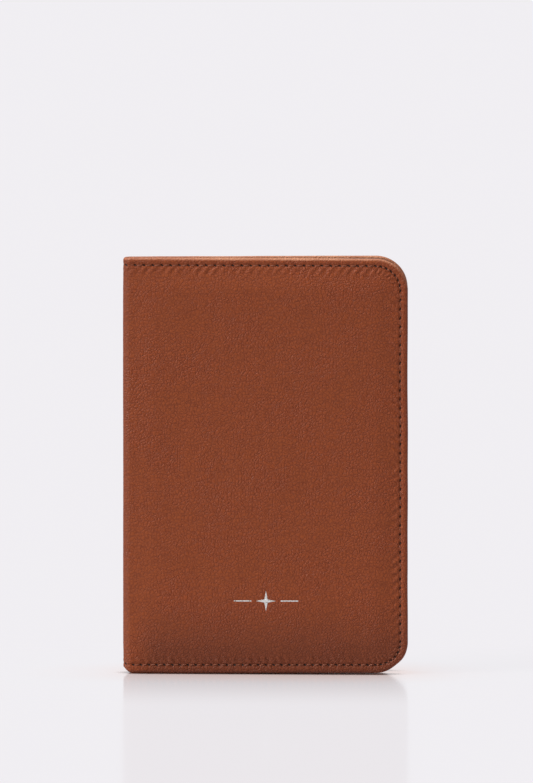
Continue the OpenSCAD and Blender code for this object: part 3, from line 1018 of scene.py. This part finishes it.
def stitchTree():
    # lays one arched, tapered stitch on every edge of a path of needle holes
    tree = bpy.data.node_groups.new("layStitches", "GeometryNodeTree")
    add = partial(addNode, tree)
    tree.interface.new_socket("Path", in_out="INPUT", socket_type="NodeSocketGeometry")
    for label in ("Diameter", "Length", "Gap", "Slant", "Dive", "Arch"):
        tree.interface.new_socket(label, in_out="INPUT", socket_type="NodeSocketFloat")
    for label in ("Sides", "Rings", "Seed"):
        tree.interface.new_socket(label, in_out="INPUT", socket_type="NodeSocketInt")
    tree.interface.new_socket("Material", in_out="INPUT", socket_type="NodeSocketMaterial")
    tree.interface.new_socket("Stitches", in_out="OUTPUT", socket_type="NodeSocketGeometry")
    given = add("NodeGroupInput").outputs

    halfLength = add("Math", {0: given["Length"], 1: 0.5}, operation="MULTIPLY")
    otherHalf = add("Math", {0: given["Length"], 1: -0.5}, operation="MULTIPLY")
    sunk = add("Math", {0: given["Dive"], 1: -1.0}, operation="MULTIPLY")
    start = add("CombineXYZ", {"X": otherHalf, "Z": sunk})
    top = add("CombineXYZ", {"Z": given["Arch"]})
    end = add("CombineXYZ", {"X": halfLength, "Z": sunk})
    arch = add("GeometryNodeCurveQuadraticBezier",
               {"Resolution": given["Rings"], "Start": start, "Middle": top, "End": end})
    along = add("GeometryNodeSplineParameter")
    marked = add("GeometryNodeStoreNamedAttribute",
                 {"Geometry": arch, "Name": "alongThread", "Value": along},
                 data_type="FLOAT", domain="POINT")
    fromEnd = add("Math", {0: along, 1: 0.5}, operation="PINGPONG")
    taper = add("MapRange",
                {"Value": fromEnd, "From Max": 0.25, "To Min": 0.6, "To Max": 1.0},
                interpolation_type="SMOOTHSTEP")
    section = add("GeometryNodeCurvePrimitiveCircle", {"Resolution": given["Sides"], "Radius": 0.5})
    around = add("GeometryNodeStoreNamedAttribute",
                 {"Geometry": section, "Name": "aroundThread", "Value": along},
                 data_type="FLOAT", domain="POINT")
    thickness = add("Math", {0: taper, 1: given["Diameter"]}, operation="MULTIPLY")
    one = add("GeometryNodeCurveToMesh",
              {"Curve": marked, "Profile Curve": around, "Scale": thickness, "Fill Caps": True})
    rounded = add("GeometryNodeSetShadeSmooth", {"Geometry": one})

    ends = add("GeometryNodeInputMeshEdgeVertices")
    run = add("VectorMath",
              {0: ends.outputs["Position 2"], 1: ends.outputs["Position 1"]}, operation="SUBTRACT")
    measured = add("GeometryNodeStoreNamedAttribute",
                   {"Geometry": given["Path"], "Name": "run", "Value": run}, data_type="FLOAT_VECTOR",
                   domain="EDGE")
    places = add("GeometryNodeMeshToPoints", {"Mesh": measured}, mode="EDGES")
    runThere = add("GeometryNodeInputNamedAttribute", {"Name": "run"}, data_type="FLOAT_VECTOR")
    normalThere = add("GeometryNodeInputNamedAttribute", {"Name": "faceNormal"}, data_type="FLOAT_VECTOR")
    facing = add("FunctionNodeAxesToRotation",
                 {"Primary Axis": runThere, "Secondary Axis": normalThere}, primary_axis="X",
                 secondary_axis="Z")
    wander = add("FunctionNodeRandomValue",
                 {"Min": -0.05, "Max": 0.05, "Seed": given["Seed"]}, data_type="FLOAT")
    lean = add("Math", {0: given["Slant"], 1: wander}, operation="ADD")
    leanTurn = add("CombineXYZ", {"Z": lean})
    turned = add("FunctionNodeRotateRotation",
                 {"Rotation": facing, "Rotate By": add("FunctionNodeEulerToRotation", {"Euler": leanTurn})},
                 rotation_space="LOCAL")
    runLength = add("VectorMath", {0: runThere}, operation="LENGTH")
    free = add("Math", {0: runLength, 1: given["Gap"]}, operation="SUBTRACT")
    fitted = add("Math", {0: free, 1: given["Length"]}, operation="DIVIDE")
    sizeThere = add("CombineXYZ", {"X": fitted, "Y": 1.0, "Z": 1.0})
    laid = add("GeometryNodeInstanceOnPoints",
               {"Points": places, "Instance": rounded, "Rotation": turned, "Scale": sizeThere})
    tone = add("FunctionNodeRandomValue", {"Seed": given["Seed"]}, data_type="FLOAT")
    toned = add("GeometryNodeStoreNamedAttribute",
                {"Geometry": laid, "Name": "tone", "Value": tone}, data_type="FLOAT", domain="INSTANCE")
    real = add("GeometryNodeRealizeInstances", {"Geometry": toned})
    finished = add("GeometryNodeSetMaterial", {"Geometry": real, "Material": given["Material"]})
    add("NodeGroupOutput", {"Stitches": finished})
    return tree


layStitches = stitchTree()


def sew(name, rows, seed):
    # rows are paths of needle holes: (side, u, z, depth, whether on the inside)
    places, normals, links = [], [], []
    for side, u, z, depth, inside in rows:
        u, z = edgeShift(np.array(u, float), np.array(z, float))
        here = wrap(side, u, z, depth)
        outward = wrap(side, u, z, np.array(depth) - 1) - here
        first = len(places)
        places.extend(here.tolist())
        normals.extend((-outward if inside else outward).tolist())
        links.extend((first + i, first + i + 1) for i in range(len(u) - 1))
    path = bpy.data.meshes.new(name + "Path")
    path.from_pydata(places, links, [])
    path.attributes.new("faceNormal", "FLOAT_VECTOR", "POINT").data.foreach_set("vector", np.ravel(normals))
    holder = bpy.data.objects.new(name + "Path", path)
    bpy.context.scene.collection.objects.link(holder)
    modifier = holder.modifiers.new("stitches", "NODES")
    modifier.node_group = layStitches
    given = {
        "Diameter": thread["diameter"] * mm, "Length": thread["length"] * mm, "Gap": thread["gap"] * mm,
        "Slant": math.radians(thread["slant"]), "Dive": thread["dive"] * mm, "Arch": thread["arch"] * mm,
        "Sides": thread["sides"], "Rings": thread["rings"], "Seed": seed, "Material": threadMaterial,
    }
    for socket in layStitches.interface.items_tree:
        if socket.name in given:
            modifier[socket.identifier] = given[socket.name]
    bpy.context.view_layer.update()
    evaluated = holder.evaluated_get(bpy.context.evaluated_depsgraph_get())
    mesh = bpy.data.meshes.new_from_object(evaluated)
    mesh.name = name
    bpy.data.objects.remove(holder)
    stitches = bpy.data.objects.new(name, mesh)
    bpy.context.scene.collection.objects.link(stitches)
    return stitches


def innermost(side, u, z):
    # depth of the face that the inner thread lies on
    fromCrease = u - coverStart + tangent
    if fromCrease < sleeveStart[side]:
        return hemDepth
    if side == 1 or fromCrease < cardStart or z > cardSpan[0][1]:
        return sleeveDepth
    level = max(k for k, span in enumerate(cardSpan) if z <= span[1])
    return cardBack(level) + hide["cardThickness"]


holes = seamHoles()
holeU, holeZ = (list(values) for values in zip(*holes))
for side, hidden in ((-1, ("front_stitching", "spine_stitching")), (1, ("back_stitching",))):
    inside = [innermost(side, u, z) - 0.1 for u, z in holes]
    rows = [(side, holeU, holeZ, [seam["groove"]] * len(holes), False), (side, holeU, holeZ, inside, True)]
    stitches = sew(coverName[side] + "Stitches", rows, 3 + side)
    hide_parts(*hidden)
    crossCrease(stitches)

cardFoot = hide["seamInset"] + thread["cardPitch"]
cardHoles = np.arange(cardFoot, cardSpan[0][1], thread["cardPitch"])
cardDepths = [innermost(-1, cardSeamU, z) - 0.05 for z in cardHoles]
cardStitches = sew("cardStitches", [(-1, cardHoles * 0 + cardSeamU, cardHoles, cardDepths, True)], 9)
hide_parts("card_stitching")
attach(cardStitches, "front_cover")
